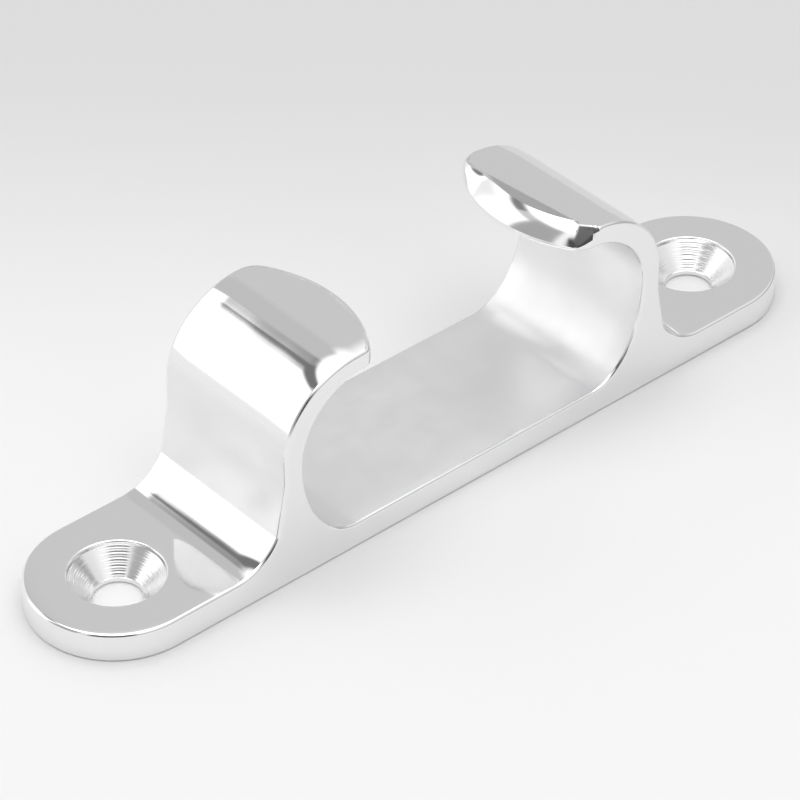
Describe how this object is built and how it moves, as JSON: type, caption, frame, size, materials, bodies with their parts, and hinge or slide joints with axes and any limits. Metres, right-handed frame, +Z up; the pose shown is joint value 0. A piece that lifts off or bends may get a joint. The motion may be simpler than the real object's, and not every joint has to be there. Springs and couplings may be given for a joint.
{
  "type": "bow chock",
  "caption": "Straight cast bow chock with two horns that curl over an open rope channel, and a countersunk screw hole in each rounded foot.",
  "frame": {"origin": "centre of the flat underside, midway between the two screw holes", "axes": "+X along the body from foot to foot, +Y along the rope through the channel, +Z up from the deck"},
  "size_m": [0.127, 0.0244, 0.0314],
  "materials": {
    "polished_stainless": "mirror polished cast stainless steel, with fine polishing lines"
  },
  "bodies": {
    "root": {"chock_body": "polished_stainless"}
  },
  "joints": []
}
